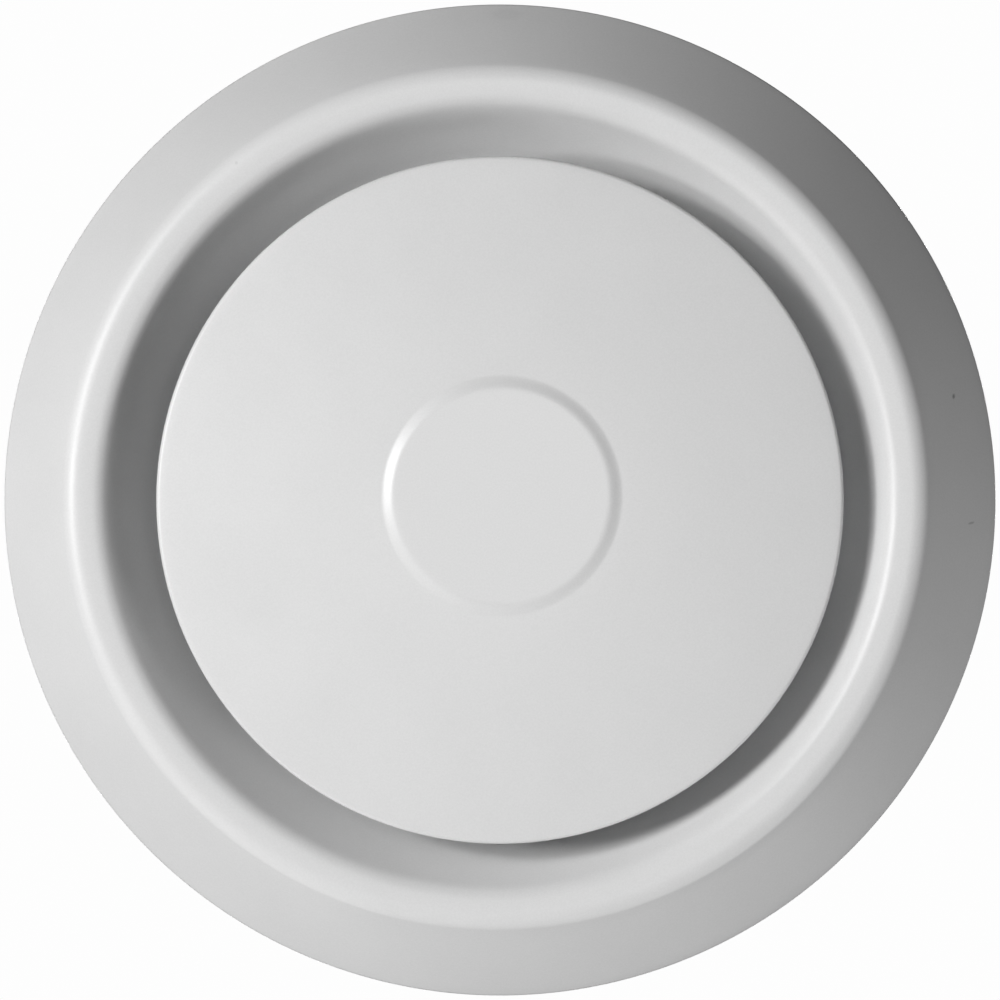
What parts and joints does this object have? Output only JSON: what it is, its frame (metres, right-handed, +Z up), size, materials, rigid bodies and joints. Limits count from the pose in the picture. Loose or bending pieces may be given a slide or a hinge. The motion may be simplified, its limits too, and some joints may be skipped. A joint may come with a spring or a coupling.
{
  "type": "ceiling air diffuser",
  "caption": "Round white pressed-steel ceiling air valve: flared face ring, adjustable front disc on a threaded spindle, bridge with lock nut, clip-in collar and duct mounting frame.",
  "frame": {"origin": "centre of the flat front of the front disc's plateau, the lowest point of the object as installed under a ceiling", "axes": "+Z points up into the ceiling along the duct and spindle axis; the face looks down, along -Z; X runs along the bridge"},
  "size_m": [0.19, 0.19, 0.0717],
  "materials": {
    "powder_white": "satin powder coat",
    "galvanised_steel": "galvanised",
    "zinc_plated": "zinc plated",
    "spring_steel": "bright spring steel",
    "seal_rubber": "matt black EPDM",
    "gasket_foam": "closed-cell foam"
  },
  "bodies": {
    "duct_frame": {"mounting_frame": "galvanised_steel", "duct_lip_seal": "seal_rubber", "frame_screw_1": "zinc_plated", "frame_screw_2": "zinc_plated", "frame_screw_3": "zinc_plated"},
    "valve_body": {"face_ring": "powder_white", "face_gasket": "gasket_foam", "bridge": "galvanised_steel", "bridge_rivet_1": "zinc_plated", "bridge_rivet_2": "zinc_plated", "bridge_rivet_3": "zinc_plated", "bridge_rivet_4": "zinc_plated", "threaded_bush": "zinc_plated", "spring_rivet_1": "zinc_plated", "spring_rivet_2": "zinc_plated", "spring_rivet_3": "zinc_plated"},
    "retaining_clip_1": {"retaining_spring_1": "spring_steel"},
    "retaining_clip_2": {"retaining_spring_2": "spring_steel"},
    "retaining_clip_3": {"retaining_spring_3": "spring_steel"},
    "spring_seat": {"thrust_washer": "zinc_plated", "preload_spring": "spring_steel"},
    "disc_assembly": {"front_disc": "powder_white", "hub_plate": "galvanised_steel", "spindle": "zinc_plated", "jam_nut": "zinc_plated", "end_stop_ring": "spring_steel"},
    "lock_washer_body": {"lock_washer": "zinc_plated"},
    "lock_nut_body": {"lock_nut": "zinc_plated"}
  },
  "joints": [
    {"name": "body_release", "type": "slide", "parent": "duct_frame", "child": "valve_body", "axis": [0, 0, -1], "range_m": [0, 0.05]},
    {"name": "disc_travel", "type": "slide", "parent": "valve_body", "child": "spring_seat", "axis": [0, 0, 1], "range_m": [-0.01126, 0.01189], "deforming": ["preload_spring"]},
    {"name": "disc_spin", "type": "hinge", "parent": "spring_seat", "child": "disc_assembly", "pos_m": [0, 0, 0.0267], "axis": [0, 0, 1], "range_deg": [-3240, 3420]},
    {"name": "lock_nut_travel", "type": "slide", "parent": "valve_body", "child": "lock_washer_body", "axis": [0, 0, 1], "range_m": [0, 0.00501]},
    {"name": "lock_nut_spin", "type": "hinge", "parent": "lock_washer_body", "child": "lock_nut_body", "pos_m": [0, 0, 0.04], "axis": [0, 0, 1], "range_deg": [0, 1440]},
    {"name": "retaining_spring_1_flex", "type": "hinge", "parent": "valve_body", "child": "retaining_clip_1", "pos_m": [0, 0.05775, 0.0527], "axis": [-1, 0, 0], "range_deg": [0, 3.5], "stiffness_Nm_per_rad": 0.6},
    {"name": "retaining_spring_2_flex", "type": "hinge", "parent": "valve_body", "child": "retaining_clip_2", "pos_m": [-0.05001, -0.02888, 0.0527], "axis": [0.5, -0.866, 0], "range_deg": [0, 3.5], "stiffness_Nm_per_rad": 0.6},
    {"name": "retaining_spring_3_flex", "type": "hinge", "parent": "valve_body", "child": "retaining_clip_3", "pos_m": [0.05001, -0.02888, 0.0527], "axis": [0.5, 0.866, 0], "range_deg": [0, 3.5], "stiffness_Nm_per_rad": 0.6}
  ],
  "couplings": [
    {"joint": "disc_travel", "follows": "disc_spin", "m_per_rad": 0.00019894},
    {"joint": "lock_nut_travel", "follows": "lock_nut_spin", "m_per_rad": 0.00019894}
  ]
}
